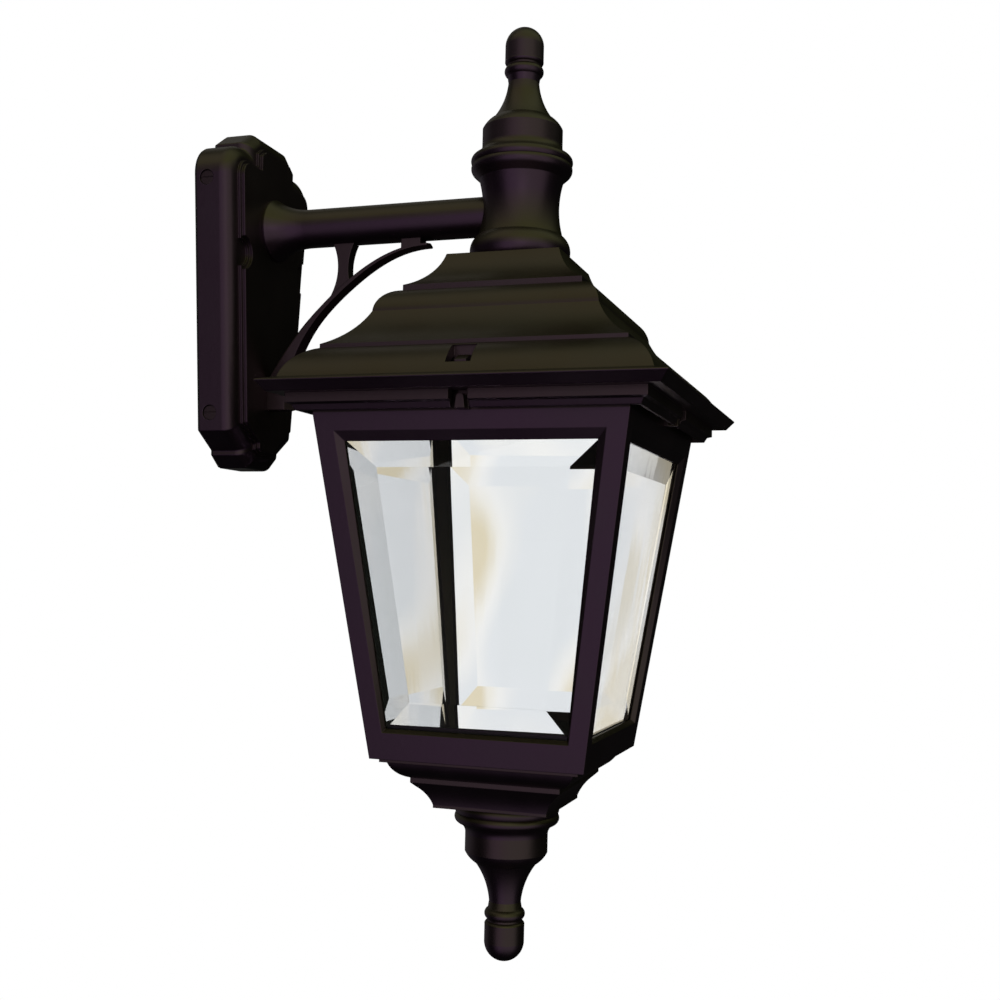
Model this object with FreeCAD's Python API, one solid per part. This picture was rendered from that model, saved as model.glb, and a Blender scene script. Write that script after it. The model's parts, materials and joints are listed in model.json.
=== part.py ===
import FreeCAD, Part
import math
import os

os.makedirs("parts", exist_ok=True)
V = FreeCAD.Vector

# Hanging wall lantern, in millimetres: +Z up, front towards -Y, wall plane at y = 0.
# The origin is on the wall, midway between the two fixing holes.

# Wall plate: a shield with a stepped cap, tapering to a stepped toe
plate_top = 95.5
plate_bottom = 95.0
plate_depth = 25.5
plate_wall = 3.0
plate_front_wall = 4.0
plate_edge_round = 7.0
shoulder_half = 49.4
shoulder_height = 83.5
shoulder_radius = 17.0
cap_half = 28.0
cap_riser = 4.0
cap_flat_half = 17.0
waist_half = 35.0
waist_drop = 76.0
toe_half = 20.5
toe_rise = 6.7
toe_riser = 2.5
toe_flat_half = 12.0
outline_corner_radius = 1.0
step_rise = 1.5
step_inset = 1.2
panel_rise = 1.8
panel_inset = 1.8
panel_notch_radius = 7.5
panel_notch_depth = 8.0
panel_notch_height = 23.0
gasket_thickness = 1.2
gasket_margin = 0.5

# Mounting strap, its arms with ears, and the screws that hold the plate on it
strap_thickness = 2.0
strap_half_width = 13.0
strap_arm_half_width = 7.0
strap_ear_depth = 11.0
fixing_spacing = 90.0
fixing_hole_radius = 2.75
cable_hole_radius = 6.5
cable_hole_height = -34.0
upper_ear_past_shoulder = 3.0
lower_ear_above_waist = 3.0
cover_screw_radius = 2.0
cover_screw_head_radius = 4.0
cover_screw_head_height = 1.6
cover_screw_recess = 2.2
cover_screw_past_ear = 2.5

# Terminal block
terminal_width = 30.0
terminal_height = 16.0
terminal_depth = 10.0
terminal_top = -10.0
terminal_screw_radius = 2.2
terminal_screw_spacing = 9.0
terminal_screw_sink = 5.0

# Arm: a tube with a trumpet foot and a threaded spigot behind it
arm_height = 43.4
arm_radius = 10.9
arm_bore_radius = 7.4
arm_foot_radius = 17.5
arm_foot_lip = 1.5
arm_trumpet_length = 20.5
arm_trumpet_sag = 1.7
spigot_radius = 8.0
spigot_bore_radius = 5.5
arm_past_stem = 9.0
arm_washer_radius = 13.0
arm_washer_thickness = 1.5
arm_nut_flats = 22.0
arm_nut_thickness = 5.0
thread_end = 1.5

# Brace below the arm, as distances out from the plate's front and down from the arm's axis
brace_width = 9.0
brace_foot_drop = 104.4
brace_foot_thickness = 16.0
brace_root_drop = 83.0
brace_knee_out = 18.6
brace_knee_drop = 56.8
brace_knee_thickness = 9.2
brace_mid_out = 47.5
brace_mid_drop = 30.6
brace_mid_thickness = 5.4
brace_late_out = 76.0
brace_late_drop = 15.4
brace_late_thickness = 3.6
brace_reach = 97.0
brace_tip_drop = 12.4
brace_tip_thickness = 3.0
brace_edge_share = 0.3
web_out = 45.0
web_waist = 6.7
web_head = 16.0
web_width = 7.0
lug_out = 86.2
lug_length = 11.4
brace_screw_radius = 2.0
brace_screw_bite = 9.0
brace_screw_head_radius = 3.6
brace_screw_head_height = 2.2
brace_screw_spacing = 9.0

# Lantern position, and the stem that holds neck, roof and lampholder together
reach = 174.0
stem_radius = 5.0
stem_bore_radius = 3.8
stem_into_finial = 11.0
stem_into_holder = 9.0
stem_window_width = 5.4
stem_washer_radius = 11.0
stem_washer_thickness = 1.5
stem_nut_flats = 17.0
stem_nut_thickness = 5.0

# Neck, as heights above the roof
neck_height = 53.4
neck_arm_height = 27.2
neck_bore_radius = 17.2
neck_cap_thickness = 4.0
neck_foot_radius = 25.0
neck_bead_sag = 3.2
neck_bead_top = 14.6
neck_column_radius = 22.9
neck_column_sag = 2.2
neck_rim_radius = 27.0
neck_rim_height = 5.0
neck_rim_step = 2.9
neck_rim_sag = 0.9

# Finials, as distances from the seat
finial_seat_radius = 26.9
finial_bead_height = 5.2
finial_bead_sag = 1.4
finial_cove_sag = 1.0
finial_cylinder_radius = 21.8
finial_cylinder_start = 10.6
finial_cylinder_end = 20.0
finial_shoulder_sag = 0.6
finial_bell_start = 26.0
finial_bell_radius = 16.2
finial_bell_sag = 1.5
finial_stalk_radius = 8.4
finial_stalk_end = 46.0
finial_stalk_flare = 0.6
finial_ring_start = 49.6
finial_ring_sag = 1.7
finial_groove = 1.0
finial_ring_end = 55.2
finial_knob_radius = 10.5
finial_knob_shoulder = 67.0
finial_dome_share = 0.29
finial_length = 77.0

# Lantern body: a tapered frame with four windows
body_half_top = 80.5
body_half_bottom = 55.5
body_height = 172.1
body_wall = 3.2
body_floor = 3.0
rim_height = 9.0
window_top_outer = 9.1
window_top_inner = 14.6
window_bottom_outer = 13.6
window_bottom_inner = 15.2
stile_top_outer = 9.9
stile_top_inner = 13.9
stile_bottom_outer = 9.2
stile_bottom_inner = 10.6
chamfer_depth = 2.4

# Roof: heights above the body's top edge, and how far each moulding stands out or in
roof_wall = 3.0
skirt_bottom = 0.4
skirt_clear = 4.8
skirt_wall = 1.6
low_band_flare = 1.5
low_band_top = 3.2
band_step = 0.8
high_band_out = 3.9
high_band_top = 8.7
fascia_out = 7.1
eave_out = 3.7
eave_height = 13.2
eave_edge = 1.2
tier_1_in = 7.6
tier_1_bottom = 16.4
tier_1_sag = 2.8
tier_2_in = 15.4
tier_2_bottom = 32.6
tier_2_lip = 2.0
ogee_share = 0.598
ogee_height = 54.3
ogee_hollow_sag = 2.2
ogee_round_sag = 3.0
tier_3_share = 0.356
tier_3_bottom = 66.9
tier_3_lip = 2.9
roof_top_half = 30.6
roof_height = 89.2
cove_sag = 2.9
eave_pitch = 0.74
rib_thickness = 2.5

# Glass
glass_thickness = 5.2
glass_edge = 1.6
glass_bevel = 15.5
glass_overlap = 2.4
glass_gap = 0.2
groove_lip = 2.2
groove_lip_thickness = 1.8
bead_rise = 2.5
bead_thickness = 2.0

# Latch tongues on the middle of each side, with their slots and notches in the roof
tongue_width = 6.0
tongue_thickness = 2.4
tongue_top = 26.0
nose_height = 4.2
nose_reach = 5.4
slot_width = 12.6
slot_bottom = 21.4
slot_top = 31.2
notch_width = 9.6
key_width = 5.2
key_tip_width = 4.0
key_reach = 7.6
key_height = 7.2

# Base and the screw that ties it up
base_wall = 3.0
base_spigot_gap = 0.6
base_spigot_show = 1.9
base_round_in = 3.0
base_round_height = 8.2
base_round_sag = 1.5
base_step_share = 0.5
base_step_height = 2.5
base_step_chamfer = 2.1
base_edge = 0.4
base_cove_share = 0.38
base_foot_half = 30.3
base_cove_sag = 0.9
base_height = 26.6
base_foot_edge = 1.5
collar_radius = 26.8
collar_sag = 0.8
collar_height = 4.8
tie_radius = 2.5
tie_into_finial = 12.0
tie_head_radius = 5.0
tie_head_height = 2.5
tie_socket_flats = 3.0
tie_socket_depth = 1.6

# Lampholder
holder_height = 50.0
holder_mouth = 8.0
holder_radius = 20.0
holder_neck_radius = 14.0
holder_neck_height = 12.0
holder_shoulder_height = 18.0
holder_edge = 1.0
shell_radius = 13.5
shell_thickness = 0.7
shell_height = 24.0
shell_recess = 2.0
contact_radius = 4.0
contact_height = 3.0
wire_chamber = 4.0

# Lead
lead_radius = 2.3
lead_rise_radius = 8.0
lead_drop_radius = 14.0

# Fits
part_gap = 0.3
hole_gap = 0.2
thread_gap = 0.05

# Places that follow from the sizes above
roof_base = arm_height - neck_arm_height - roof_height
LANTERN = V(0, -reach, roof_base)
side_depth = plate_depth - panel_rise - step_rise - plate_edge_round - gasket_thickness
plate_inside = plate_depth - plate_front_wall
neck_seat = roof_height + neck_height
body_slope = math.atan2(body_half_top - body_half_bottom, body_height)
face_length = body_height / math.cos(body_slope)
stem_hole_radius = stem_radius + hole_gap
skirt_inner = body_half_top + skirt_clear
low_band_half = skirt_inner + skirt_wall
high_band_half = low_band_half + high_band_out
fascia_half = high_band_half + fascia_out
eave_half = fascia_half + eave_out
tier_1_half = eave_half - tier_1_in
tier_2_half = tier_1_half - tier_2_in
ogee_half = roof_top_half + (tier_2_half - roof_top_half) * ogee_share
tier_3_half = roof_top_half + (tier_2_half - roof_top_half) * tier_3_share
base_spigot_half = body_half_bottom - body_wall - base_spigot_gap
base_round_half = base_spigot_half - base_round_in
base_step_half = base_foot_half + (base_round_half - base_foot_half) * base_step_share
base_cove_half = base_foot_half + (base_round_half - base_foot_half) * base_cove_share
rib_bottom = rim_height + part_gap
rib_half = body_half_top - tongue_thickness / 4


def save(name, *solids):
    """Write one node, a single solid or a group of like solids."""
    shape = solids[0] if len(solids) == 1 else Part.makeCompound(list(solids))
    shape.exportStep("parts/" + name + ".step")


def hang(shape):
    """Move a shape from the lantern's own axis to its place in front of the wall."""
    moved = shape.copy()
    moved.translate(LANTERN)
    return moved


def box(x0, x1, y0, y1, z0, z1):
    return Part.makeBox(x1 - x0, y1 - y0, z1 - z0, V(x0, y0, z0))


def rod(radius, start, end):
    return Part.makeCylinder(radius, (end - start).Length, start, end - start)


def upright(radius, z0, z1):
    return rod(radius, V(0, 0, z0), V(0, 0, z1))


def hexagon(flats, z0, z1):
    """Hexagonal bar along Z."""
    corner = flats / math.sqrt(3)
    points = [V(corner * math.cos(math.radians(60 * i)), corner * math.sin(math.radians(60 * i)), z0)
              for i in range(7)]
    return Part.Face(Part.makePolygon(points)).extrude(V(0, 0, z1 - z0))


def curve(p, q, sag):
    """A straight edge, or an arc that bows by sag to the right of the way from p to q."""
    if sag == 0:
        return Part.LineSegment(p, q).toShape()
    way = q - p
    side = V(way.z, 0, -way.x).normalize()
    return Part.Arc(p, (p + q) * 0.5 + side * sag, q).toShape()


def section(outline):
    """Edges in the XZ plane through (half width, height, sag of the edge that arrives)."""
    points = [V(point[0], 0, point[1]) for point in outline]
    return [curve(points[i - 1], points[i], outline[i][2]) for i in range(1, len(points))]


def turned(outline):
    """Solid of revolution about Z; the outline runs from bottom to top."""
    bottom = V(0, 0, outline[0][1])
    top = V(0, 0, outline[-1][1])
    edges = section(outline)
    edges.insert(0, Part.LineSegment(bottom, V(outline[0][0], 0, outline[0][1])).toShape())
    if outline[-1][0] > 0:
        edges.append(Part.LineSegment(V(outline[-1][0], 0, outline[-1][1]), top).toShape())
    edges.append(Part.LineSegment(top, bottom).toShape())
    return Part.Face(Part.Wire(edges)).revolve(V(0, 0, 0), V(0, 0, 1), 360)


def squared(outline):
    """Square solid with mitred corners; the outline of half widths runs from bottom to top."""
    right = section(outline)
    left = [edge.mirror(V(0, 0, 0), V(1, 0, 0)) for edge in right]
    bottom_half, bottom = outline[0][0], outline[0][1]
    top_half, top = outline[-1][0], outline[-1][1]
    edges = right + left
    edges.append(Part.LineSegment(V(-bottom_half, 0, bottom), V(bottom_half, 0, bottom)).toShape())
    edges.append(Part.LineSegment(V(-top_half, 0, top), V(top_half, 0, top)).toShape())
    face = Part.Face(Part.Wire(Part.__sortEdges__(edges)))
    widest = max(point[0] for point in outline) + 1
    face.translate(V(0, -widest, 0))
    along_y = face.extrude(V(0, 2 * widest, 0))
    along_x = along_y.copy()
    along_x.rotate(V(0, 0, 0), V(0, 0, 1), 90)
    return along_y.common(along_x).removeSplitter()


def quarter_turns(shape):
    """The shape and its three copies round the lantern's axis: front, right, back and left."""
    copies = []
    for turn in range(4):
        copy = shape.copy()
        copy.rotate(V(0, 0, 0), V(0, 0, 1), 90 * turn)
        copies.append(copy)
    return copies


def inset_polygon(points, distance):
    """Move every side of an anticlockwise polygon inwards by the same distance."""
    count = len(points)
    moved = []
    for i in range(count):
        before, here, after = points[i - 1], points[i], points[(i + 1) % count]
        way_in = (here - before).normalize()
        way_out = (after - here).normalize()
        normal_in = V(-way_in.y, way_in.x, 0)
        normal_out = V(-way_out.y, way_out.x, 0)
        mitre = (normal_in + normal_out) * (1 / (1 + normal_in.dot(normal_out)))
        moved.append(here + mitre * distance)
    return moved


def rounded_wire(points, radii):
    """Closed wire through the corners, each rounded by its own radius."""
    count = len(points)
    edges = []
    ends = []
    for i in range(count):
        here = points[i]
        to_before = (points[i - 1] - here).normalize()
        to_after = (points[(i + 1) % count] - here).normalize()
        half_angle = to_before.getAngle(to_after) / 2
        length = radii[i] / math.tan(half_angle)
        centre_way = (to_before + to_after).normalize()
        middle = here + centre_way * (radii[i] / math.sin(half_angle) - radii[i])
        ends.append((here + to_before * length, middle, here + to_after * length))
    for i in range(count):
        start, middle, end = ends[i]
        edges.append(Part.Arc(start, middle, end).toShape())
        edges.append(Part.LineSegment(end, ends[(i + 1) % count][0]).toShape())
    return Part.Wire(edges)


def shield(inset, out):
    """The plate's outline, drawn in by inset, on the plane that lies out from the wall."""
    right = [(toe_flat_half, -plate_bottom),
             (toe_half, -plate_bottom + toe_rise),
             (toe_half, -plate_bottom + toe_rise + toe_riser),
             (waist_half, -waist_drop),
             (shoulder_half, shoulder_height),
             (cap_half, shoulder_height),
             (cap_half, shoulder_height + cap_riser),
             (cap_flat_half, plate_top)]
    points = [V(x, z, 0) for x, z in right] + [V(-x, z, 0) for x, z in reversed(right)]
    small = outline_corner_radius
    shoulder = max(shoulder_radius - inset, small)
    radii = [small, small, small, small, shoulder, small, small, small]
    wire = rounded_wire(inset_polygon(points, inset), radii + radii[::-1])
    wire.rotate(V(0, 0, 0), V(1, 0, 0), 90)
    wire.translate(V(0, -out, 0))
    return wire


def shield_slab(inset, near, far):
    return Part.Face(shield(inset, near)).extrude(V(0, near - far, 0))


def plate_half_at(z):
    """Half width of the plate's straight tapering side at a height."""
    share = (z + waist_drop) / (shoulder_height + waist_drop)
    return waist_half + share * (shoulder_half - waist_half)


def outwards(shape):
    """Lay a shape that was made along Z along the way out from the wall, on the arm's axis."""
    shape.rotate(V(0, 0, 0), V(1, 0, 0), 90)
    shape.translate(V(0, 0, arm_height))
    return shape


cover_screw_heights = [shoulder_height - shoulder_radius + upper_ear_past_shoulder - strap_arm_half_width,
                       -waist_drop + lower_ear_above_waist + strap_arm_half_width]
brace_screw_heights = [arm_height - brace_foot_drop + brace_screw_spacing * (i + 0.5) for i in range(2)]


def cover_screw_places():
    """Side, height and face of the plate for each of the four cover screws."""
    return [(side, z, plate_half_at(z)) for side in (-1, 1) for z in cover_screw_heights]


def wall_plate():
    edge = gasket_thickness + side_depth
    plate = shield_slab(0, gasket_thickness, edge)
    rings = []
    for step in range(4):
        angle = math.radians(30 * step)
        inset = plate_edge_round * (1 - math.cos(angle))
        rings.append(shield(inset, edge + plate_edge_round * math.sin(angle)))
    rounded = Part.makeLoft(rings, True, False)
    shelf = edge + plate_edge_round
    notch_out = plate_half_at(panel_notch_height) - plate_edge_round - step_inset
    notch_centre = notch_out + panel_notch_radius - panel_notch_depth
    steps = []
    for inset, near, far, radius in (
            (plate_edge_round + step_inset, shelf, shelf + step_rise, panel_notch_radius),
            (plate_edge_round + step_inset + panel_inset, shelf + step_rise, plate_depth,
             panel_notch_radius + panel_inset)):
        slab = shield_slab(inset, near, far)
        for side in (-1, 1):
            start = V(side * notch_centre, -near, panel_notch_height)
            slab = slab.cut(rod(radius, start, V(side * notch_centre, -far, panel_notch_height)))
        steps.append(slab)
    plate = plate.fuse([rounded] + steps)
    plate = plate.cut(shield_slab(plate_wall, 0, edge))
    plate = plate.cut(shield_slab(plate_edge_round + plate_wall, 0, plate_inside))
    holes = [rod(spigot_radius + hole_gap, V(0, 0, arm_height), V(0, -plate_depth, arm_height))]
    for z in brace_screw_heights:
        holes.append(rod(brace_screw_radius + hole_gap, V(0, 0, z), V(0, -plate_depth, z)))
    out = -ear_middle()
    for side, z, half in cover_screw_places():
        holes.append(rod(cover_screw_radius + hole_gap, V(0, out, z), V(side * half, out, z)))
        recess = V(side * (half - cover_screw_recess), out, z)
        holes.append(rod(cover_screw_head_radius + hole_gap, recess, recess + V(side * plate_wall * 2, 0, 0)))
    return plate.cut(holes).removeSplitter()


def wall_gasket():
    return shield_slab(gasket_margin, 0, gasket_thickness).cut(
        shield_slab(plate_wall - gasket_margin, 0, gasket_thickness))


def ear_middle():
    """Distance from the wall to the middle of the strap's ears."""
    return strap_thickness + strap_ear_depth / 2


def ear_outside(z):
    """Outer face of the strap's ears, just inside the plate's side wall."""
    taper = (shoulder_half - waist_half) / (shoulder_height + waist_drop)
    return plate_half_at(z) - plate_wall - taper * strap_arm_half_width - part_gap


def mounting_strap():
    """Flat bar that is screwed to the wall, with a hole for the supply cable."""
    upper, lower = cover_screw_heights
    strap = box(-strap_half_width, strap_half_width, -strap_thickness, 0,
                lower - strap_arm_half_width, upper + strap_arm_half_width)
    for z in (-fixing_spacing / 2, fixing_spacing / 2):
        strap = strap.cut(rod(fixing_hole_radius, V(0, -strap_thickness, z), V(0, 0, z)))
    centre = V(0, 0, cable_hole_height)
    return strap.cut(rod(cable_hole_radius, centre + V(0, -strap_thickness, 0), centre))


def strap_arms(z):
    """Cross strip welded to the front of the strap, with an ear at each end for a cover screw."""
    half = ear_outside(z)
    low = z - strap_arm_half_width
    high = z + strap_arm_half_width
    strip = box(-half, half, -2 * strap_thickness, -strap_thickness, low, high)
    for side in (-1, 1):
        inner = side * (half - strap_thickness)
        ear = box(min(inner, side * half), max(inner, side * half),
                  -strap_thickness - strap_ear_depth, -strap_thickness, low, high)
        hole = rod(cover_screw_radius + thread_gap, V(0, -ear_middle(), z),
                   V(side * (half + strap_thickness), -ear_middle(), z))
        strip = strip.fuse(ear).cut(hole)
    return strip.removeSplitter()


def cover_screws():
    screws = []
    for side, z, half in cover_screw_places():
        floor = half - cover_screw_recess
        tip = ear_outside(z) - strap_thickness - cover_screw_past_ear
        top = floor + cover_screw_head_height
        middle = -ear_middle()
        shank = rod(cover_screw_radius, V(side * tip, middle, z), V(side * floor, middle, z))
        head = rod(cover_screw_head_radius, V(side * floor, middle, z), V(side * top, middle, z))
        slot_size = cover_screw_head_height / 4
        slot_floor = side * (top - slot_size)
        slot = box(min(slot_floor, side * top), max(slot_floor, side * top),
                   middle - cover_screw_head_radius, middle + cover_screw_head_radius,
                   z - slot_size, z + slot_size)
        screws.append(shank.fuse(head).cut(slot).removeSplitter())
    return screws


def terminal_screw_places():
    middle = terminal_top - terminal_height / 2
    return [V(offset * terminal_screw_spacing, -strap_thickness - terminal_depth, middle)
            for offset in (-1, 0, 1)]


def terminal_block():
    block = box(-terminal_width / 2, terminal_width / 2, -strap_thickness - terminal_depth, -strap_thickness,
                terminal_top - terminal_height, terminal_top)
    for place in terminal_screw_places():
        sink = place + V(0, terminal_screw_sink, 0)
        block = block.cut(rod(terminal_screw_radius + thread_gap, place, sink))
    return block


def terminal_screws():
    return [rod(terminal_screw_radius, place + V(0, terminal_screw_radius / 2, 0),
                place + V(0, terminal_screw_sink, 0)) for place in terminal_screw_places()]


spigot_end = plate_inside - arm_washer_thickness - arm_nut_thickness - thread_end


def arm():
    trumpet_end = plate_depth + arm_foot_lip + arm_trumpet_length
    outer = turned([(spigot_radius, spigot_end, 0),
                    (spigot_radius, plate_depth, 0),
                    (arm_foot_radius, plate_depth, 0),
                    (arm_foot_radius, plate_depth + arm_foot_lip, 0),
                    (arm_radius, trumpet_end, -arm_trumpet_sag),
                    (arm_radius, reach + arm_past_stem, 0)])
    bore = turned([(spigot_bore_radius, spigot_end, 0),
                   (spigot_bore_radius, plate_depth, 0),
                   (arm_bore_radius, trumpet_end, 0),
                   (arm_bore_radius, reach + arm_past_stem, 0)])
    tube = outwards(outer.cut(bore))
    stem_hole = rod(stem_hole_radius, V(0, -reach, arm_height - arm_foot_radius),
                    V(0, -reach, arm_height + arm_foot_radius))
    return tube.cut(stem_hole)


def arm_washer():
    start = plate_inside - arm_washer_thickness
    washer = upright(arm_washer_radius, start, plate_inside)
    return outwards(washer.cut(upright(spigot_radius + hole_gap, start, plate_inside)))


def arm_nut():
    end = plate_inside - arm_washer_thickness
    nut = hexagon(arm_nut_flats, end - arm_nut_thickness, end)
    return outwards(nut.cut(upright(spigot_radius + thread_gap, end - arm_nut_thickness, end)))


def brace_point(out, drop):
    """Point in the brace's plane: out from the plate's front, down from the arm's axis."""
    return V(0, -plate_depth - out, arm_height - drop)


def brace_curve(points):
    line = Part.BSplineCurve()
    line.interpolate(points)
    return line.toShape()


def plate_of(edges, width):
    """Upright slab of a given width, centred on the plane x = 0."""
    face = Part.Face(Part.Wire(edges))
    face.translate(V(-width / 2, 0, 0))
    return face.extrude(V(width, 0, 0))


def line(p, q):
    return Part.LineSegment(p, q).toShape()


brace_tip_out = brace_reach - brace_tip_thickness / 2


def brace_rail(start, depth):
    """Points along the bow, from one at its foot to its tip, at a share of its thickness from the top."""
    places = [(brace_knee_out, brace_knee_drop, brace_knee_thickness),
              (brace_mid_out, brace_mid_drop, brace_mid_thickness),
              (brace_late_out, brace_late_drop, brace_late_thickness)]
    top = [brace_point(0, brace_root_drop)] + [brace_point(out, drop) for out, drop, thickness in places]
    top.append(brace_point(brace_tip_out, brace_tip_drop))
    rail = [start]
    for i, (out, drop, thickness) in enumerate(places):
        way = (top[i + 2] - top[i]).normalize()
        rail.append(top[i + 1] + V(0, -way.z, way.y) * thickness * depth)
    return rail + [brace_point(brace_tip_out, brace_tip_drop + brace_tip_thickness * depth)]


def brace_outline(share, x):
    """Outline of the bow at a distance from its middle plane, narrowed by a share at each edge."""
    heel = brace_point(0, brace_foot_drop)
    upper = brace_rail(brace_point(0, brace_root_drop + share * brace_foot_thickness), share)
    lower = brace_rail(brace_point((1 - share) * brace_foot_thickness, brace_foot_drop), 1 - share)
    tip_radius = (0.5 - share) * brace_tip_thickness
    tip_end = brace_point(brace_tip_out + tip_radius, brace_tip_drop + brace_tip_thickness / 2)
    tip = Part.Arc(lower[-1], tip_end, upper[-1]).toShape()
    wire = Part.Wire([line(heel, lower[0]), brace_curve(lower), tip, brace_curve(upper[::-1]),
                      line(upper[0], heel)])
    wire.translate(V(x, 0, 0))
    return wire


def scroll_brace():
    """Ridged bow from a flat foot on the plate to a tip under the arm, with a waisted web and a lug."""
    half = brace_width / 2
    bow = Part.makeLoft([brace_outline(brace_edge_share, -half), brace_outline(0, 0),
                         brace_outline(brace_edge_share, half)], True, True)
    core = brace_rail(brace_point(0, brace_root_drop + brace_foot_thickness / 2), 0.5)
    axis_end = brace_point(brace_tip_out, 0)
    axis_start = brace_point(0, 0)
    above = plate_of([brace_curve(core), line(core[-1], axis_end), line(axis_end, axis_start),
                      line(axis_start, core[0])], brace_width)
    web_top = arm_radius - web_width / 2
    web_low = brace_mid_drop + 2 * brace_mid_thickness
    waist_drop_here = (arm_radius + brace_mid_drop) / 2
    sides = []
    for side in (-1, 1):
        sides.append([brace_point(web_out + side * web_head / 2, web_top),
                      brace_point(web_out + side * web_waist / 2, waist_drop_here),
                      brace_point(web_out + side * web_head / 2, web_low)])
    web = plate_of([Part.Arc(*sides[0]).toShape(), line(sides[0][2], sides[1][2]),
                    Part.Arc(*sides[1]).toShape(), line(sides[1][0], sides[0][0])], web_width)
    lug_near = -plate_depth - lug_out + lug_length / 2
    lug = box(-brace_width / 2, brace_width / 2, lug_near - lug_length, lug_near,
              arm_height - brace_mid_drop, arm_height)
    brace = bow.fuse([web.common(above), lug.common(above)])
    brace = brace.cut(rod(arm_radius + thread_gap, V(0, -plate_depth, arm_height), V(0, -reach, arm_height)))
    for z in brace_screw_heights:
        start = V(0, -plate_depth, z)
        end = V(0, -plate_depth - brace_screw_bite - thread_end, z)
        brace = brace.cut(rod(brace_screw_radius + thread_gap, start, end))
    return brace.removeSplitter()


def brace_screws():
    screws = []
    for z in brace_screw_heights:
        seat = V(0, -plate_inside, z)
        head = rod(brace_screw_head_radius, seat + V(0, brace_screw_head_height, 0), seat)
        screws.append(head.fuse(rod(brace_screw_radius, seat, V(0, -plate_depth - brace_screw_bite, z))))
    return [screw.removeSplitter() for screw in screws]


arm_level = roof_height + neck_arm_height


def neck():
    """Spool that stands on the roof and takes the end of the arm."""
    outer = turned([(neck_foot_radius, 0, 0),
                    (neck_column_radius, neck_bead_top, neck_bead_sag),
                    (neck_column_radius, neck_height - neck_rim_height - neck_rim_step, -neck_column_sag),
                    (neck_rim_radius - neck_rim_sag, neck_height - neck_rim_height, 0),
                    (neck_rim_radius, neck_height, neck_rim_sag)])
    hollow = upright(neck_bore_radius, 0, neck_height - neck_cap_thickness)
    stem_hole = upright(stem_hole_radius, 0, neck_height)
    socket = rod(arm_radius + hole_gap, V(0, 0, neck_arm_height), V(0, 2 * neck_rim_radius, neck_arm_height))
    shape = outer.cut([hollow, stem_hole, socket])
    shape.translate(V(0, 0, roof_height))
    return hang(shape)


def finial(hole_radius, hole_depth):
    """Turned finial standing on its seat at z = 0."""
    shape = turned([(finial_seat_radius, 0, 0),
                    (finial_seat_radius - finial_bead_sag, finial_bead_height, finial_bead_sag),
                    (finial_cylinder_radius, finial_cylinder_start, -finial_cove_sag),
                    (finial_cylinder_radius, finial_cylinder_end, 0),
                    (finial_bell_radius, finial_bell_start, finial_shoulder_sag),
                    (finial_stalk_radius, finial_stalk_end, -finial_bell_sag),
                    (finial_stalk_radius + finial_stalk_flare, finial_ring_start, 0),
                    (finial_stalk_radius + finial_stalk_flare, finial_ring_end, finial_ring_sag),
                    (finial_stalk_radius + finial_stalk_flare, finial_ring_end + finial_groove, 0),
                    (finial_knob_radius, finial_ring_end + 3 * finial_groove, finial_shoulder_sag),
                    (finial_knob_radius, finial_knob_shoulder, 0),
                    (0, finial_length, (finial_length - finial_knob_shoulder) * finial_dome_share)])
    return shape.cut(upright(hole_radius + thread_gap, 0, hole_depth + thread_end))


def top_finial():
    shape = finial(stem_radius, stem_into_finial)
    shape.translate(V(0, 0, neck_seat))
    return hang(shape)


def stem_tube():
    low = holder_mouth + holder_height - stem_into_holder
    high = neck_seat + stem_into_finial
    tube = upright(stem_radius, low, high).cut(upright(stem_bore_radius, low, high))
    half = stem_window_width / 2
    window = box(-half, half, 0, 2 * stem_radius, arm_level - lead_drop_radius,
                 arm_level + lead_radius + part_gap)
    return hang(tube.cut(window))


def stem_washer():
    top = roof_height - roof_wall
    low = top - stem_washer_thickness
    return hang(upright(stem_washer_radius, low, top).cut(upright(stem_hole_radius, low, top)))


def stem_nut():
    top = roof_height - roof_wall - stem_washer_thickness
    low = top - stem_nut_thickness
    return hang(hexagon(stem_nut_flats, low, top).cut(upright(stem_radius + thread_gap, low, top)))


def lamp_lead():
    """Lead from the terminals through the arm and down the stem, round in section."""
    start_out = strap_thickness + terminal_depth / 2
    chamber_floor = roof_base + holder_mouth + holder_height - stem_into_holder - wire_chamber
    bend = math.sqrt(0.5)
    rise = V(0, -start_out, arm_height - lead_rise_radius)
    rise_middle = V(0, -start_out - lead_rise_radius * (1 - bend), arm_height - lead_rise_radius * (1 - bend))
    along = V(0, -start_out - lead_rise_radius, arm_height)
    turn = V(0, -reach + lead_drop_radius, arm_height)
    turn_middle = V(0, -reach + lead_drop_radius * (1 - bend), arm_height - lead_drop_radius * (1 - bend))
    fall = V(0, -reach, arm_height - lead_drop_radius)
    start = V(0, -start_out, terminal_top)
    path = Part.Wire([line(start, rise), Part.Arc(rise, rise_middle, along).toShape(), line(along, turn),
                      Part.Arc(turn, turn_middle, fall).toShape(), line(fall, V(0, -reach, chamber_floor))])
    ring = Part.Wire(Part.makeCircle(lead_radius, start, V(0, 0, 1)))
    return path.makePipeShell([ring], True, False)


def lampholder_body():
    top = holder_mouth + holder_height
    outer = turned([(holder_radius - holder_edge, holder_mouth, 0),
                    (holder_radius, holder_mouth + holder_edge, 0),
                    (holder_radius, top - holder_shoulder_height, 0),
                    (holder_neck_radius, top - holder_neck_height, 0),
                    (holder_neck_radius, top, 0)])
    socket_top = holder_mouth + shell_recess + shell_height + contact_height
    socket = upright(shell_radius + shell_thickness, holder_mouth, socket_top)
    thread = upright(stem_radius + thread_gap, top - stem_into_holder, top)
    chamber = upright(stem_bore_radius, top - stem_into_holder - wire_chamber, top)
    return hang(outer.cut([socket, thread, chamber]))


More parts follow.
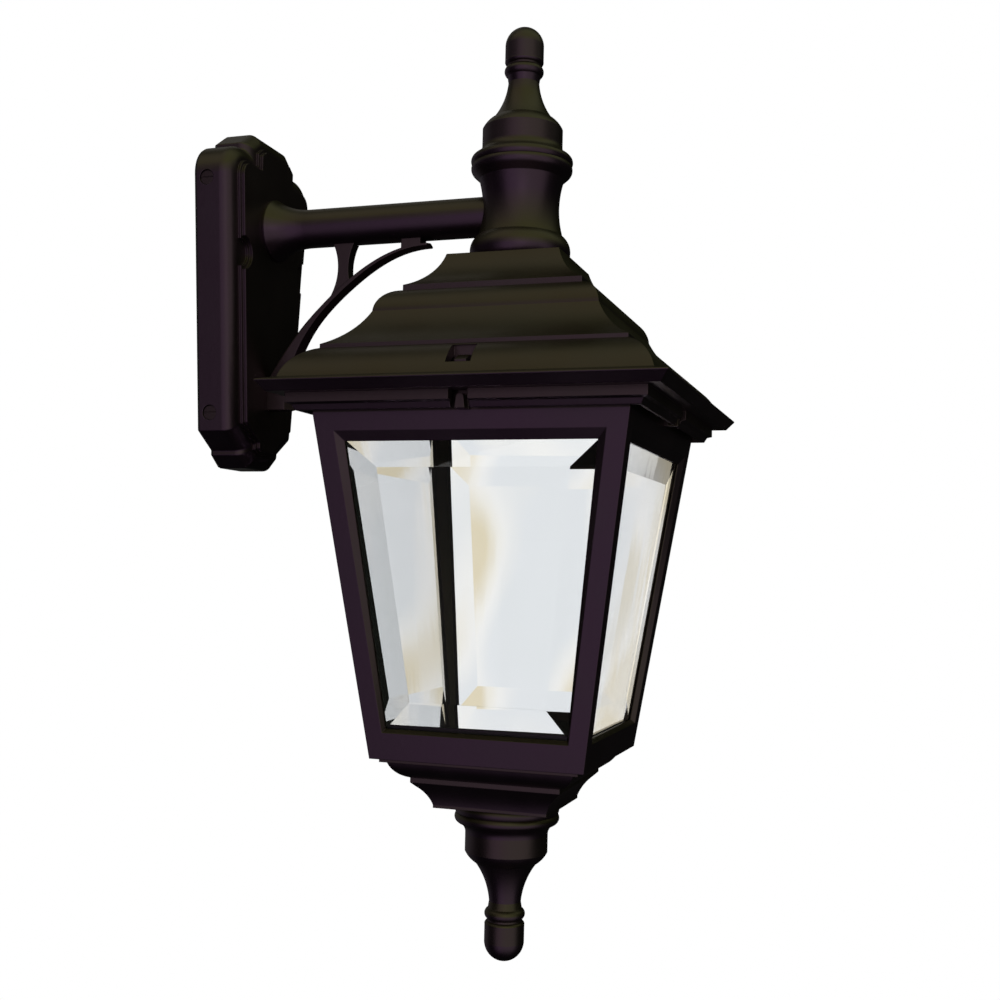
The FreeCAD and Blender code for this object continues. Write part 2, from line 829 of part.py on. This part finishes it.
def lampholder_shell():
    low = holder_mouth + shell_recess
    high = low + shell_height
    return hang(upright(shell_radius + shell_thickness, low, high).cut(upright(shell_radius, low, high)))


def lampholder_contact():
    top = holder_mouth + shell_recess + shell_height + contact_height
    return hang(upright(contact_radius, top - contact_height, top))


def roof():
    """Square roof in three moulded tiers, hollow, with slots and notches for the latches."""
    outer = squared([(low_band_half, skirt_bottom, 0),
                     (low_band_half + low_band_flare, low_band_top, 0),
                     (high_band_half, low_band_top + band_step, 0),
                     (high_band_half, high_band_top, 0),
                     (fascia_half, high_band_top, 0),
                     (eave_half, eave_height, 0),
                     (eave_half, eave_height + eave_edge, eave_edge / 3),
                     (tier_1_half, tier_1_bottom, 0),
                     (tier_2_half, tier_2_bottom, tier_1_sag),
                     (tier_2_half, tier_2_bottom + tier_2_lip, 0),
                     (ogee_half, ogee_height, -ogee_hollow_sag),
                     (tier_3_half, tier_3_bottom, ogee_round_sag),
                     (tier_3_half, tier_3_bottom + tier_3_lip, 0),
                     (roof_top_half, roof_height, -cove_sag)])
    inner_2 = tier_2_half - roof_wall
    inner_3 = tier_3_half - roof_wall
    ceiling = tier_2_bottom - roof_wall
    inner = squared([(skirt_inner, 0, 0),
                     (skirt_inner, ceiling - (skirt_inner - inner_2) * eave_pitch, 0),
                     (inner_2, ceiling, 0),
                     (inner_2, ceiling + tier_2_lip, 0),
                     (ogee_half - roof_wall, ogee_height - roof_wall, -ogee_hollow_sag),
                     (inner_3, tier_3_bottom - roof_wall, ogee_round_sag),
                     (inner_3, tier_3_bottom + tier_3_lip - roof_wall, 0),
                     (roof_top_half - roof_wall, roof_height - roof_wall, -cove_sag)])
    rib_top = ceiling + roof_wall / 3
    rib_inner = rib_half - rib_thickness
    rib = squared([(rib_half, rib_bottom, 0), (rib_half, rib_top, 0)])
    rib = rib.cut(squared([(rib_inner, rib_bottom, 0), (rib_inner, rib_top, 0)]))
    slot = box(-slot_width / 2, slot_width / 2, -eave_half, -rib_half, slot_bottom, slot_top)
    notch = box(-notch_width / 2, notch_width / 2, -fascia_half, -body_half_top, 0, high_band_top)
    shape = outer.cut(inner).cut(quarter_turns(slot) + quarter_turns(notch)).fuse(rib)
    return hang(shape.cut(upright(stem_hole_radius, 0, roof_height)).removeSplitter())


def body_half_at(z):
    return body_half_top + z * math.tan(body_slope)


def on_face(shape):
    """Place a shape drawn flat, with y up and z outwards, on the body's front face."""
    shape.rotate(V(0, 0, 0), V(1, 0, 0), 90 + math.degrees(body_slope))
    shape.translate(V(0, -body_half_top, 0))
    return shape


def face_half(down, stile):
    """Half width left inside a stile, at a distance down the sloping face."""
    return body_half_top - down * math.sin(body_slope) - stile


def quad(top, top_half, bottom, bottom_half):
    """Corners of an upright trapezium, anticlockwise, at distances down the face."""
    return [V(-bottom_half, -bottom, 0), V(bottom_half, -bottom, 0),
            V(top_half, -top, 0), V(-top_half, -top, 0)]


def loop(points, depth):
    wire = Part.makePolygon(points + points[:1])
    wire.translate(V(0, 0, -depth))
    return wire


window_foot_outer = face_length - window_bottom_outer
window_foot_inner = face_length - window_bottom_inner
window_half_top = face_half(window_top_inner, stile_top_inner)
window_half_foot = face_half(window_foot_inner, stile_bottom_inner)
window_taper = (window_half_top - window_half_foot) / (window_foot_inner - window_top_inner)
glass_top = window_top_inner - glass_overlap
glass_foot = window_foot_inner + glass_overlap
glass_half_top = window_half_top + window_taper * glass_overlap + glass_overlap
glass_half_foot = window_half_foot - window_taper * glass_overlap + glass_overlap
wall_normal = body_wall * math.cos(body_slope)
floor_top = -glass_foot * math.cos(body_slope) + body_wall * math.sin(body_slope) - glass_gap
floor_bottom = floor_top - body_floor
bead_top = bead_rise - window_foot_inner * math.cos(body_slope)


def window():
    outer = quad(window_top_outer, face_half(window_top_outer, stile_top_outer),
                 window_foot_outer, face_half(window_foot_outer, stile_bottom_outer))
    inner = quad(window_top_inner, window_half_top, window_foot_inner, window_half_foot)
    chamfer = Part.makeLoft([loop(outer, 0), loop(inner, chamfer_depth)], True, True)
    mouth = Part.Face(loop(outer, -body_wall)).extrude(V(0, 0, -body_wall))
    through = Part.Face(loop(inner, chamfer_depth)).extrude(V(0, 0, -body_wall))
    return [on_face(piece) for piece in (mouth, chamfer, through)]


def glass_pane():
    """Bevelled pane, flat face outwards, behind the window of the front face."""
    outline = quad(glass_top, glass_half_top, glass_foot, glass_half_foot)
    seat = wall_normal + glass_gap
    edge = Part.Face(loop(outline, seat)).extrude(V(0, 0, -glass_edge))
    plateau = inset_polygon(outline, glass_bevel)
    rings = [loop(outline, seat + glass_edge), loop(plateau, seat + glass_thickness)]
    bevel = Part.makeLoft(rings, True, True)
    return on_face(edge.fuse(bevel).removeSplitter())


def corner_post():
    """Inner corner of the frame, with a groove on each side for the edge of a pane."""
    bevel_rise = (glass_thickness - glass_edge) / glass_bevel * groove_lip
    groove = 2 * glass_gap + glass_edge + bevel_rise
    rings = []
    for z, glass_half in ((floor_top - body_floor / 2, glass_half_foot), (-glass_top, glass_half_top)):
        wall = body_half_at(z) - body_wall
        side = glass_half + part_gap
        deep = wall - groove
        buried = wall + body_wall / 2
        points = [V(buried, buried, z), V(side, buried, z), V(side, deep, z), V(side - groove_lip, deep, z),
                  V(side - groove_lip, deep - groove_lip_thickness, z),
                  V(deep - groove_lip_thickness, side - groove_lip, z),
                  V(deep, side - groove_lip, z), V(deep, side, z), V(buried, side, z)]
        rings.append(Part.makePolygon(points + points[:1]))
    return Part.makeLoft(rings, True, True)


def foot_bead():
    """Upstand round the floor that keeps the feet of the panes in place."""
    pane = glass_edge + (glass_thickness - glass_edge) * (glass_overlap + bead_rise) / glass_bevel
    behind = (wall_normal + glass_gap + pane + part_gap) / math.cos(body_slope)
    heights = floor_top - body_floor / 2, bead_top
    outer = squared([(body_half_at(z) - behind, z, 0) for z in heights])
    return outer.cut(squared([(body_half_at(z) - behind - bead_thickness, z, 0) for z in heights]))


def tie_head():
    """Countersunk head, flush with the floor."""
    return Part.makeCone(tie_radius, tie_head_radius, tie_head_height, V(0, 0, floor_top - tie_head_height))


def body_frame():
    outer = squared([(body_half_bottom, -body_height, 0), (body_half_top, 0, 0),
                     (body_half_top, rim_height, 0)])
    inside = squared([(body_half_at(floor_top) - body_wall, floor_top, 0),
                      (body_half_top - body_wall, 0, 0), (body_half_top - body_wall, rim_height, 0)])
    below = squared([(body_half_bottom - body_wall, -body_height, 0),
                     (body_half_at(floor_bottom) - body_wall, floor_bottom, 0)])
    cutters = [inside, below, upright(tie_radius + hole_gap, floor_bottom, floor_top), tie_head()]
    for piece in window():
        cutters += quarter_turns(piece)
    frame = outer.cut(cutters)
    return frame.fuse(quarter_turns(corner_post()) + [foot_bead()]).removeSplitter()


def latch():
    """Spring tongue on the front of the rim: an upright with a hooked nose, and a key below it."""
    face = -body_half_top
    back = face - tongue_thickness
    half = tongue_width / 2
    tongue = box(-half, half, back, face, 0, tongue_top)
    nose_low = slot_bottom + part_gap
    nose = [V(-half, back, nose_low), V(-half, back - nose_reach, nose_low),
            V(-half, back - nose_reach, nose_low + nose_height / 3), V(-half, back, tongue_top)]
    hook = Part.Face(Part.makePolygon(nose + nose[:1])).extrude(V(tongue_width, 0, 0))
    front = face - key_reach
    tip = key_tip_width / 2
    foot = key_width / 2
    shoulder = key_height - tip
    key = Part.Face(Part.Wire([line(V(-foot, front, 0), V(foot, front, 0)),
                               line(V(foot, front, 0), V(tip, front, shoulder)),
                               Part.Arc(V(tip, front, shoulder), V(0, front, key_height),
                                        V(-tip, front, shoulder)).toShape(),
                               line(V(-tip, front, shoulder), V(-foot, front, 0))]))
    return tongue.fuse([hook, key.extrude(V(0, key_reach, 0))]).removeSplitter()


def base_moulding():
    bottom = -body_height - base_height
    spigot = -body_height - base_spigot_show
    step = spigot - base_round_height - base_edge
    outline = [(base_foot_half, bottom, 0),
               (base_foot_half, bottom + base_foot_edge, 0),
               (base_cove_half, step - base_step_height - base_step_chamfer, -base_cove_sag),
               (base_step_half, step - base_step_height, 0),
               (base_step_half, step, 0),
               (base_round_half, spigot - base_edge, base_round_sag),
               (base_spigot_half, spigot, 0),
               (base_spigot_half, floor_bottom, 0)]
    hollow = [(half - base_wall, z + base_wall, sag) for half, z, sag in outline[:-1]]
    hollow.append((base_spigot_half - base_wall, floor_bottom, 0))
    solid = squared(outline).cut(squared(hollow))
    collar = turned([(collar_radius, bottom - collar_height, 0), (collar_radius, bottom, collar_sag)])
    tie_hole = upright(tie_radius + hole_gap, bottom - collar_height, floor_bottom)
    return hang(solid.fuse(collar).cut(tie_hole).removeSplitter())


base_seat = -body_height - base_height - collar_height


def bottom_finial():
    shape = finial(tie_radius, tie_into_finial)
    shape.rotate(V(0, 0, 0), V(1, 0, 0), 180)
    shape.translate(V(0, 0, base_seat))
    return hang(shape)


def tie_screw():
    shank = upright(tie_radius, base_seat - tie_into_finial, floor_top - tie_head_height)
    socket = hexagon(tie_socket_flats, floor_top - tie_socket_depth, floor_top)
    return hang(shank.fuse(tie_head()).cut(socket).removeSplitter())


save("wall_plate", wall_plate())
save("wall_gasket", wall_gasket())
save("mounting_strap", mounting_strap())
for place, height in zip(("upper", "lower"), cover_screw_heights):
    save("strap_arms_" + place, strap_arms(height))
save("cover_screws", *cover_screws())
save("terminal_block", terminal_block())
save("terminal_screws", *terminal_screws())
save("arm", arm())
save("arm_washer", arm_washer())
save("arm_nut", arm_nut())
save("scroll_brace", scroll_brace())
save("brace_screws", *brace_screws())
save("neck", neck())
save("top_finial", top_finial())
save("stem_tube", stem_tube())
save("stem_washer", stem_washer())
save("stem_nut", stem_nut())
save("lamp_lead", lamp_lead())
save("lampholder_body", lampholder_body())
save("lampholder_shell", lampholder_shell())
save("lampholder_contact", lampholder_contact())
save("roof", roof())
save("body_frame", hang(body_frame()))
for place, pane, tongue in zip(("front", "right", "back", "left"), quarter_turns(glass_pane()),
                               quarter_turns(latch())):
    save("glass_" + place, hang(pane))
    save("latch_" + place, hang(tongue))
save("base_moulding", base_moulding())
save("bottom_finial", bottom_finial())
save("tie_screw", tie_screw())
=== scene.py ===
import json
import math
import bpy
from mathutils import Matrix, Vector


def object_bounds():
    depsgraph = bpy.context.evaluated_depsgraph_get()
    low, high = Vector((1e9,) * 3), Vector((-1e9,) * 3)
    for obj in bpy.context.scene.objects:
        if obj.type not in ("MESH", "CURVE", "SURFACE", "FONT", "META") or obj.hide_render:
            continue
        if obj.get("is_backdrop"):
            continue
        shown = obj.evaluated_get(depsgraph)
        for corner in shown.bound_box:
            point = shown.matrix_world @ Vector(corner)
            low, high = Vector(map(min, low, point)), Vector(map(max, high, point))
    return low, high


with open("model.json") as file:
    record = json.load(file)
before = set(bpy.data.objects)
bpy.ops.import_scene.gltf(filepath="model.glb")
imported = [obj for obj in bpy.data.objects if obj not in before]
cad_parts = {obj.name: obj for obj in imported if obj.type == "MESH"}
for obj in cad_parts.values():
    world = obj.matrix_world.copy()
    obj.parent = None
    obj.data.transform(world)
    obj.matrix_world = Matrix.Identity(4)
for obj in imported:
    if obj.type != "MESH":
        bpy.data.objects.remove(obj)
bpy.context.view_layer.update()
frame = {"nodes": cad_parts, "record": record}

nodes = frame["nodes"]


def middle(node):
    """Middle of a node's box in the frame."""
    corners = [node.matrix_world @ Vector(corner) for corner in node.bound_box]
    return sum(corners, Vector()) / len(corners)


LANTERN = middle(nodes["roof"])
# Values of a noise between which most of its pattern lies
NOISE_LOW, NOISE_HIGH = 0.3, 0.7
WHITE = (1.0, 1.0, 1.0)


def new_material(name):
    """New material with a Principled shader on its output, with its node tree and that shader."""
    material = bpy.data.materials.new(name)
    material.use_nodes = True
    tree = material.node_tree
    tree.nodes.clear()
    output = tree.nodes.new("ShaderNodeOutputMaterial")
    shader = tree.nodes.new("ShaderNodeBsdfPrincipled")
    tree.links.new(shader.outputs[0], output.inputs[0])
    return material, tree, shader


def add(tree, kind, values=None, links=None, **settings):
    """Add a node, set its plain properties, its input values and its input links."""
    node = tree.nodes.new(kind)
    for key, value in settings.items():
        setattr(node, key, value)
    for key, value in (values or {}).items():
        node.inputs[key].default_value = value
    for key, source in (links or {}).items():
        tree.links.new(source, node.inputs[key])
    return node


def noise(tree, place, scale, detail=3.0, roughness=0.55, stretch=None, shift=(0.0, 0.0, 0.0)):
    """Noise over a place, which may be stretched and shifted first."""
    if stretch:
        mapping = {"Scale": stretch, "Location": shift}
        place = add(tree, "ShaderNodeMapping", mapping, {"Vector": place}).outputs[0]
    values = {"Scale": scale, "Detail": detail, "Roughness": roughness}
    return add(tree, "ShaderNodeTexNoise", values, {"Vector": place}).outputs[0]


def ramp(tree, source, stops):
    """Colour by value, from stops in rising order."""
    node = add(tree, "ShaderNodeValToRGB", links={"Fac": source})
    elements = node.color_ramp.elements
    for i, (place, colour) in enumerate(stops):
        element = elements[i] if i < 2 else elements.new(place)
        element.position = place
        element.color = (*colour, 1.0)
    return node.outputs[0]


def spread(tree, source, low, high, to_low, to_high):
    """Map a range of one value onto another."""
    values = {"From Min": low, "From Max": high, "To Min": to_low, "To Max": to_high}
    return add(tree, "ShaderNodeMapRange", values, {"Value": source}).outputs[0]


def mixed(tree, factor, a, b):
    """Mix two colours that vary over the surface."""
    node = add(tree, "ShaderNodeMix", data_type="RGBA")
    tree.links.new(factor, node.inputs[0])
    tree.links.new(a, node.inputs[6])
    tree.links.new(b, node.inputs[7])
    return node.outputs[2]


def bump(tree, height, distance, strength, under=None):
    """Normals from a height, over other normals where those are given."""
    links = {"Height": height}
    if under:
        links["Normal"] = under
    return add(tree, "ShaderNodeBump", {"Distance": distance, "Strength": strength}, links).outputs[0]


def soft_edges(tree, radius):
    """Normals that round off the corners of the solids."""
    return add(tree, "ShaderNodeBevel", {"Radius": radius}, samples=6).outputs[0]


def black_finish(name, grain_scale, grain_depth, rough_low, rough_high):
    """Satin black with a fine grain and painted light by facing: a painted plum sheen tint on upright faces,
    and where it faces up a painted olive sheen tint and a lighter olive base colour (painted top light).
    """
    tone_scale = 28.0
    level, tilted = -0.12, 0.25
    edge_radius = 0.0006
    coarse_share, coarse_depth, coarse_strength = 1 / 7, 3 * grain_depth, 0.25
    fine_strength = 0.6
    material, tree, shader = new_material(name)
    place = add(tree, "ShaderNodeTexCoord").outputs["Object"]
    tone = noise(tree, place, tone_scale, 5.0)
    fine = noise(tree, place, grain_scale, 3.0)
    normal = add(tree, "ShaderNodeNewGeometry").outputs["Normal"]
    up = add(tree, "ShaderNodeSeparateXYZ", links={"Vector": normal}).outputs["Z"]
    # Mask by facing direction, used to paint light and shade: upright faces get one tint, upward faces
    # another
    facing_up = spread(tree, up, level, tilted, 0.0, 1.0)
    black = ramp(tree, tone, [(NOISE_LOW, (0.0035, 0.0022, 0.0033)), (NOISE_HIGH, (0.0055, 0.0038, 0.0052))])
    # Painted top light: the base colour turns lighter olive where the surface faces up, standing in for
    # light from above
    painted_top_light = ramp(tree, tone, [(NOISE_LOW, (0.010, 0.0085, 0.003)), (NOISE_HIGH, (0.014, 0.012, 0.005))])
    tree.links.new(mixed(tree, facing_up, black, painted_top_light), shader.inputs["Base Color"])
    # Painted sheen colour: the specular tint is plum on upright faces and olive on upward faces, standing in
    # for the colour of the light
    plum = ramp(tree, tone, [(NOISE_LOW, (0.95, 0.5, 0.92)), (NOISE_HIGH, (1.0, 0.58, 0.98))])
    olive = ramp(tree, tone, [(NOISE_LOW, (0.95, 0.73, 0.4)), (NOISE_HIGH, (1.0, 0.8, 0.5))])
    tree.links.new(mixed(tree, facing_up, plum, olive), shader.inputs["Specular Tint"])
    roughness = spread(tree, tone, NOISE_LOW, NOISE_HIGH, rough_low, rough_high)
    tree.links.new(roughness, shader.inputs["Roughness"])
    coarse = noise(tree, place, grain_scale * coarse_share, 2.0)
    skin = bump(tree, coarse, coarse_depth, coarse_strength, soft_edges(tree, edge_radius))
    tree.links.new(bump(tree, fine, grain_depth, fine_strength, skin), shader.inputs["Normal"])
    shader.inputs["IOR"].default_value = 2.0
    return material


def clear_glass():
    """Clear pane glass with faint drawn streaks and a very slight green-grey body."""
    material, tree, shader = new_material("clear_glass")
    place = add(tree, "ShaderNodeTexCoord").outputs["Object"]
    streak = noise(tree, place, 60.0, 2.0, stretch=(1.0, 1.0, 0.12))
    film = noise(tree, place, 22.0, 4.0)
    tree.links.new(ramp(tree, film, [(0.3, (0.995, 0.995, 0.99)), (0.75, (0.975, 0.98, 0.97))]),
                   shader.inputs["Base Color"])
    tree.links.new(bump(tree, streak, 0.0004, 0.06), shader.inputs["Normal"])
    shader.inputs["Roughness"].default_value = 0.0
    shader.inputs["Transmission Weight"].default_value = 1.0
    shader.inputs["IOR"].default_value = 1.5
    return material


def metal(name, light, shade, rough_low, rough_high):
    """Bare metal with fine turned marks and a slightly uneven tone."""
    material, tree, shader = new_material(name)
    place = add(tree, "ShaderNodeTexCoord").outputs["Object"]
    tone = noise(tree, place, 90.0, 4.0)
    marks = noise(tree, place, 900.0, 2.0, stretch=(1.0, 1.0, 0.1))
    tree.links.new(ramp(tree, tone, [(NOISE_LOW, shade), (NOISE_HIGH, light)]), shader.inputs["Base Color"])
    roughness = spread(tree, marks, NOISE_LOW, NOISE_HIGH, rough_low, rough_high)
    tree.links.new(roughness, shader.inputs["Roughness"])
    tree.links.new(bump(tree, marks, 0.00004, 0.4), shader.inputs["Normal"])
    shader.inputs["Metallic"].default_value = 1.0
    return material


def plain(name, light, shade, rough_low, rough_high, scale, depth):
    """Plastic, rubber or glazed surface with a soft change of tone and a fine skin."""
    material, tree, shader = new_material(name)
    place = add(tree, "ShaderNodeTexCoord").outputs["Object"]
    tone = noise(tree, place, 40.0, 4.0)
    tree.links.new(ramp(tree, tone, [(NOISE_LOW, shade), (NOISE_HIGH, light)]), shader.inputs["Base Color"])
    roughness = spread(tree, tone, NOISE_LOW, NOISE_HIGH, rough_low, rough_high)
    tree.links.new(roughness, shader.inputs["Roughness"])
    tree.links.new(bump(tree, noise(tree, place, scale, 3.0), depth, 0.5), shader.inputs["Normal"])
    return material


MATERIALS = {
    "moulded_black": black_finish("moulded_black", 2600.0, 0.00005, 0.34, 0.42),
    "painted_black": black_finish("painted_black", 1900.0, 0.00004, 0.32, 0.4),
    "clear_glass": clear_glass(),
    "zinc_steel": metal("zinc_steel", (0.62, 0.62, 0.6), (0.5, 0.5, 0.48), 0.28, 0.42),
    "brass": metal("brass", (0.8, 0.6, 0.28), (0.62, 0.44, 0.2), 0.25, 0.4),
    "gasket_rubber": plain("gasket_rubber", (0.035, 0.035, 0.036), (0.022, 0.022, 0.023), 0.7, 0.85,
                           1500.0, 0.00005),
    "terminal_plastic": plain("terminal_plastic", (0.8, 0.79, 0.75), (0.72, 0.71, 0.66), 0.4, 0.5,
                              1200.0, 0.00003),
    "glazed_ceramic": plain("glazed_ceramic", (0.86, 0.85, 0.81), (0.78, 0.77, 0.72), 0.12, 0.2,
                            300.0, 0.00004),
    "lead_sheath": plain("lead_sheath", (0.74, 0.73, 0.7), (0.66, 0.65, 0.61), 0.4, 0.5,
                         900.0, 0.00003),
}
for part in frame["record"]["subparts"]:
    mesh = nodes[part["node"]].data
    mesh.materials.clear()
    mesh.materials.append(MATERIALS[part["material_slot"]])


def pale_floor(radius):
    """Pale, faintly mottled floor that glows by emission (painted light), greyer in the middle and running
    out into the white surround at its edge.
    """
    middle_tone = (0.82, 0.82, 0.81)
    mottle_share = 0.06
    material, tree, shader = new_material("pale_floor")
    place = add(tree, "ShaderNodeTexCoord").outputs["Object"]
    away = add(tree, "ShaderNodeVectorMath", links={0: place}, operation="LENGTH").outputs["Value"]
    patches = noise(tree, place, 12.0, 4.0)
    mottle = spread(tree, patches, NOISE_LOW, NOISE_HIGH, 0.0, mottle_share * radius)
    reach = add(tree, "ShaderNodeMath", links={0: away, 1: mottle}, operation="ADD").outputs[0]
    # Painted light: the floor's tone is emitted rather than lit, greyer in the middle and white at the edge
    tree.links.new(ramp(tree, reach, [(0.0, middle_tone), (radius, WHITE)]), shader.inputs["Emission Color"])
    shader.inputs["Emission Strength"].default_value = 1.0
    shader.inputs["Base Color"].default_value = (0.0, 0.0, 0.0, 1.0)
    shader.inputs["Specular IOR Level"].default_value = 0.0
    return material


def floor():
    """Plain round floor well below the lantern."""
    radius = 0.5
    drop = 0.27
    sides = 96
    turns = [2 * math.pi * i / sides for i in range(sides)]
    mesh = bpy.data.meshes.new("floor")
    mesh.from_pydata([(radius * math.cos(a), radius * math.sin(a), 0.0) for a in turns], [], [range(sides)])
    mesh.materials.append(pale_floor(radius))
    plane = bpy.data.objects.new("floor", mesh)
    plane.location = (LANTERN.x, LANTERN.y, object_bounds()[0].z - drop)
    plane.visible_glossy = False
    plane.visible_diffuse = False
    bpy.context.scene.collection.objects.link(plane)
    plane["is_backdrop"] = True


def camera():
    """Camera level with the panes, looking at the lantern's left side and a little of its front."""
    place = Vector((-0.64623, -0.38208, -0.14826))
    azimuth, elevation, roll = math.radians(-71.51), math.radians(-3.09), math.radians(1.37)
    back = Vector((math.sin(azimuth) * math.cos(elevation), -math.cos(azimuth) * math.cos(elevation),
                   math.sin(elevation)))
    right = Vector((math.cos(azimuth), math.sin(azimuth), 0.0))
    up = back.cross(right)
    across = right * math.cos(roll) + up * math.sin(roll)
    above = up * math.cos(roll) - right * math.sin(roll)
    data = bpy.data.cameras.new("camera")
    data.sensor_width = 36.0
    data.lens = 45.72
    data.clip_start = 0.01
    eye = bpy.data.objects.new("camera", data)
    eye.matrix_world = Matrix.Translation(place) @ Matrix((across, above, back)).transposed().to_4x4()
    bpy.context.scene.collection.objects.link(eye)
    bpy.context.scene.camera = eye


def soft_light(name, place, size, power):
    """Round soft lamp that points at the lantern."""
    data = bpy.data.lights.new(name, "AREA")
    data.shape = "DISK"
    data.size = size
    data.energy = power
    data.color = WHITE
    lamp = bpy.data.objects.new(name, data)
    lamp.location = place
    lamp.rotation_mode = "QUATERNION"
    lamp.rotation_quaternion = (LANTERN - Vector(place)).to_track_quat("-Z", "Y")
    bpy.context.scene.collection.objects.link(lamp)


def toward(tree, way, aim):
    """How nearly a direction points along another one."""
    return add(tree, "ShaderNodeVectorMath", {1: aim}, {0: way}, operation="DOT_PRODUCT").outputs["Value"]


def maths(tree, operation, a, b):
    """One sum, product or comparison of two values."""
    return add(tree, "ShaderNodeMath", links={0: a, 1: b}, operation=operation).outputs[0]


def dome(tree, way):
    """Brightness by direction: a soft tent in front, a weaker sky over it and a weak panel at the rear."""
    tent_aim = (-0.862, -0.478, -0.17)
    rear_aim = (0.42, 0.906, 0.0)
    sky_share, rear_share = 0.85, 0.35
    darkest, brightest = 0.006, 0.31
    height = add(tree, "ShaderNodeSeparateXYZ", links={"Vector": way}).outputs["Z"]
    front = toward(tree, way, tent_aim)
    tent = maths(tree, "MULTIPLY", spread(tree, front, 0.42, 0.6, 0.0, 1.0),
                 spread(tree, height, -0.95, -0.6, 0.0, 1.0))
    sky = maths(tree, "MULTIPLY", spread(tree, front, -0.5, -0.2, 0.0, 1.0),
                spread(tree, height, 0.3, 0.65, 0.0, sky_share))
    rear = spread(tree, toward(tree, way, rear_aim), 0.7, 0.95, 0.0, rear_share)
    share = maths(tree, "MAXIMUM", maths(tree, "MAXIMUM", tent, sky), rear)
    return spread(tree, share, 0.0, 1.0, darkest, brightest)


def studio():
    """White surround, an uneven cream backdrop seen through the glass, and a tent of soft light.

    The tent is dimmer where it shines into the lantern through the panes or is mirrored in them.
    """
    inside_share, mirror_share = 0.3, 0.15
    backdrop_strength = 1.05
    warm_aim, warm_tint = (0.317, -0.948, 0.0), (0.98, 1.15, 0.86)
    world = bpy.data.worlds.new("studio")
    world.use_nodes = True
    tree = world.node_tree
    tree.nodes.clear()
    path = add(tree, "ShaderNodeLightPath")
    way = add(tree, "ShaderNodeTexCoord").outputs["Generated"]
    folds = noise(tree, way, 11.0, 1.0, stretch=(1.0, 1.0, 0.45), shift=(3.5, 6.5, 2.0))
    cloth = ramp(tree, folds, [(0.4, (0.82, 0.74, 0.56)), (0.46, (0.95, 0.93, 0.88)),
                               (0.5, (0.97, 0.97, 0.97)), (0.58, (0.85, 0.88, 0.92))])
    bounces = maths(tree, "ADD", path.outputs["Glossy Depth"], path.outputs["Diffuse Depth"])
    straight = maths(tree, "GREATER_THAN", path.outputs["Is Transmission Ray"], bounces)
    mirror = maths(tree, "MULTIPLY", path.outputs["Is Singular Ray"], path.outputs["Is Reflection Ray"])
    far_side = spread(tree, toward(tree, way, (1.0, 0.0, 0.0)), 0.3, 0.6, 0.0, 1.0)
    pane = maths(tree, "MAXIMUM", straight, maths(tree, "MULTIPLY", mirror, far_side))
    warmth = spread(tree, toward(tree, way, warm_aim), -0.35, 0.0, 0.0, 1.0)
    glow = ramp(tree, warmth, [(0.0, WHITE), (1.0, warm_tint)])
    inside = spread(tree, path.outputs["Transmission Depth"], 0.0, 1.0, 1.0, inside_share)
    dimming = maths(tree, "MULTIPLY", inside, spread(tree, mirror, 0.0, 1.0, 1.0, mirror_share))
    strength = maths(tree, "MULTIPLY", dome(tree, way), dimming)
    light = add(tree, "ShaderNodeBackground", links={"Color": glow, "Strength": strength})
    backdrop = add(tree, "ShaderNodeBackground", {"Strength": backdrop_strength}, {"Color": cloth})
    white = add(tree, "ShaderNodeBackground", {"Color": (*WHITE, 1.0), "Strength": 1.0})
    through = add(tree, "ShaderNodeMixShader", links={
        0: pane, 1: light.outputs[0], 2: backdrop.outputs[0]})
    seen = add(tree, "ShaderNodeMixShader", links={
        0: path.outputs["Is Camera Ray"], 1: through.outputs[0], 2: white.outputs[0]})
    add(tree, "ShaderNodeOutputWorld", links={"Surface": seen.outputs[0]})
    bpy.context.scene.world = world
    soft_light("key", place=(-1.1, -0.6, 0.1), size=0.5, power=0.15)
    soft_light("back", place=(0.7, 0.5, 1.1), size=0.8, power=0.3)


floor()
camera()
studio()
bpy.context.scene.view_settings.view_transform = "Standard"
